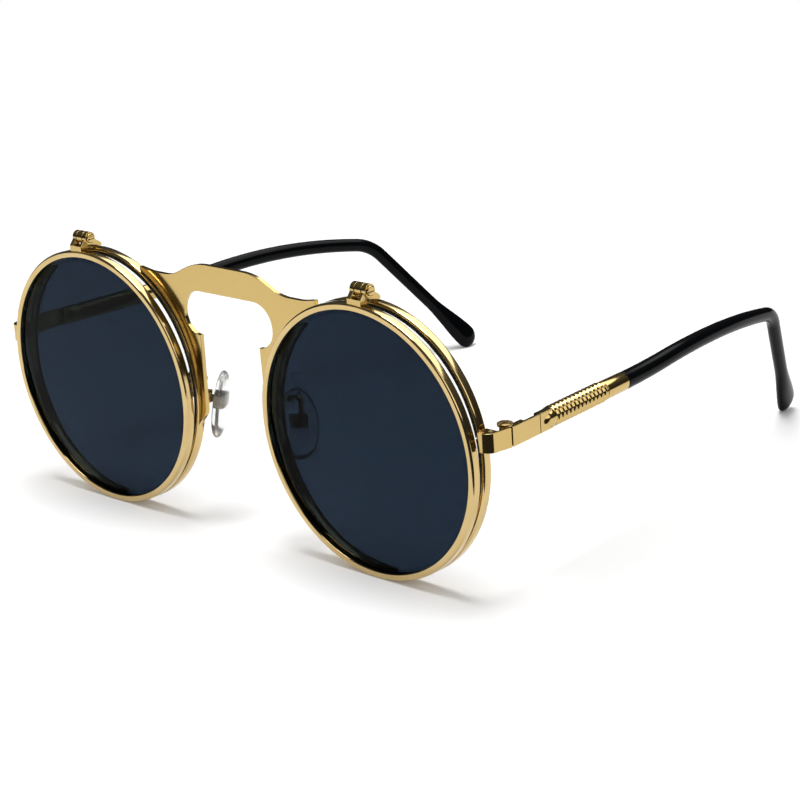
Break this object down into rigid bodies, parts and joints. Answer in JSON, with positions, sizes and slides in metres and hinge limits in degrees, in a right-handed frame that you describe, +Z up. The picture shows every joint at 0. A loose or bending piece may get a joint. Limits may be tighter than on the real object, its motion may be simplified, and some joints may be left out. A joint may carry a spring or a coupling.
{
  "type": "flip-up sunglasses",
  "caption": "Round wire-rimmed sunglasses with clear lenses, dark lenses hinged to flip up, folding temples and rocking nose pads.",
  "frame": {"origin": "middle of the footprint, on the surface that the fixed rims and the temple tips stand on", "axes": "+X to the right seen from the front, +Y from the front towards the temple tips, +Z up"},
  "size_m": [0.1344, 0.1223, 0.0562],
  "materials": {
    "gold": "polished pale gold plating",
    "screw": "browned screw heads",
    "steel": "brushed",
    "clear_lens": "clear, polished",
    "dark_lens": "dark blue-grey tint, polished",
    "clear_pad": "clear soft plastic",
    "black_tip": "glossy black"
  },
  "bodies": {
    "front": {"bridge_plate": "gold", "closing_screws": "screw", "temple_screws": "screw", "pad_screws": "screw", "base_rim_right": "gold", "base_rim_left": "gold", "clear_lens_right": "clear_lens", "clear_lens_left": "clear_lens", "endpiece_right": "gold", "endpiece_left": "gold", "front_hinge_right": "gold", "front_hinge_left": "gold", "closing_block_upper_right": "gold", "closing_block_upper_left": "gold", "closing_block_lower_right": "gold", "closing_block_lower_left": "gold", "hinge_lug_right": "gold", "hinge_lug_left": "gold", "pad_arm_right": "gold", "pad_arm_left": "gold", "pad_cup_right": "gold", "pad_cup_left": "gold"},
    "flip_right": {"flip_rim_right": "gold", "dark_lens_right": "dark_lens", "flip_bracket_right": "gold", "flip_screw_right": "gold"},
    "temple_right": {"temple_plate_right": "gold", "temple_hinge_right": "gold", "temple_shaft_right": "gold", "ferrule_right": "gold", "core_wire_right": "steel", "temple_tip_right": "black_tip"},
    "pad_right": {"nose_pad_right": "clear_pad", "pad_insert_right": "steel"},
    "flip_left": {"flip_rim_left": "gold", "dark_lens_left": "dark_lens", "flip_bracket_left": "gold", "flip_screw_left": "gold"},
    "temple_left": {"temple_plate_left": "gold", "temple_hinge_left": "gold", "temple_shaft_left": "gold", "ferrule_left": "gold", "core_wire_left": "steel", "temple_tip_left": "black_tip"},
    "pad_left": {"nose_pad_left": "clear_pad", "pad_insert_left": "steel"}
  },
  "joints": [
    {"name": "flip_right_hinge", "type": "hinge", "parent": "front", "child": "flip_right", "pos_m": [0.0384, -0.05899, 0.055], "axis": [-1, 0, 0], "range_deg": [0, 100]},
    {"name": "temple_right_hinge", "type": "hinge", "parent": "front", "child": "temple_right", "pos_m": [0.06525, -0.05352, 0.0312], "axis": [0, 0, 1], "range_deg": [0, 79]},
    {"name": "pad_right_rock", "type": "hinge", "parent": "front", "child": "pad_right", "pos_m": [0.013, -0.05272, 0.0243], "axis": [-0.5736, -0.8192, 0], "range_deg": [-8, 8]},
    {"name": "flip_left_hinge", "type": "hinge", "parent": "front", "child": "flip_left", "pos_m": [-0.0384, -0.05899, 0.055], "axis": [-1, 0, 0], "range_deg": [0, 100]},
    {"name": "temple_left_hinge", "type": "hinge", "parent": "front", "child": "temple_left", "pos_m": [-0.06525, -0.05352, 0.0312], "axis": [0, 0, -1], "range_deg": [0, 68]},
    {"name": "pad_left_rock", "type": "hinge", "parent": "front", "child": "pad_left", "pos_m": [-0.013, -0.05272, 0.0243], "axis": [0.5736, -0.8192, 0], "range_deg": [-8, 8]}
  ]
}
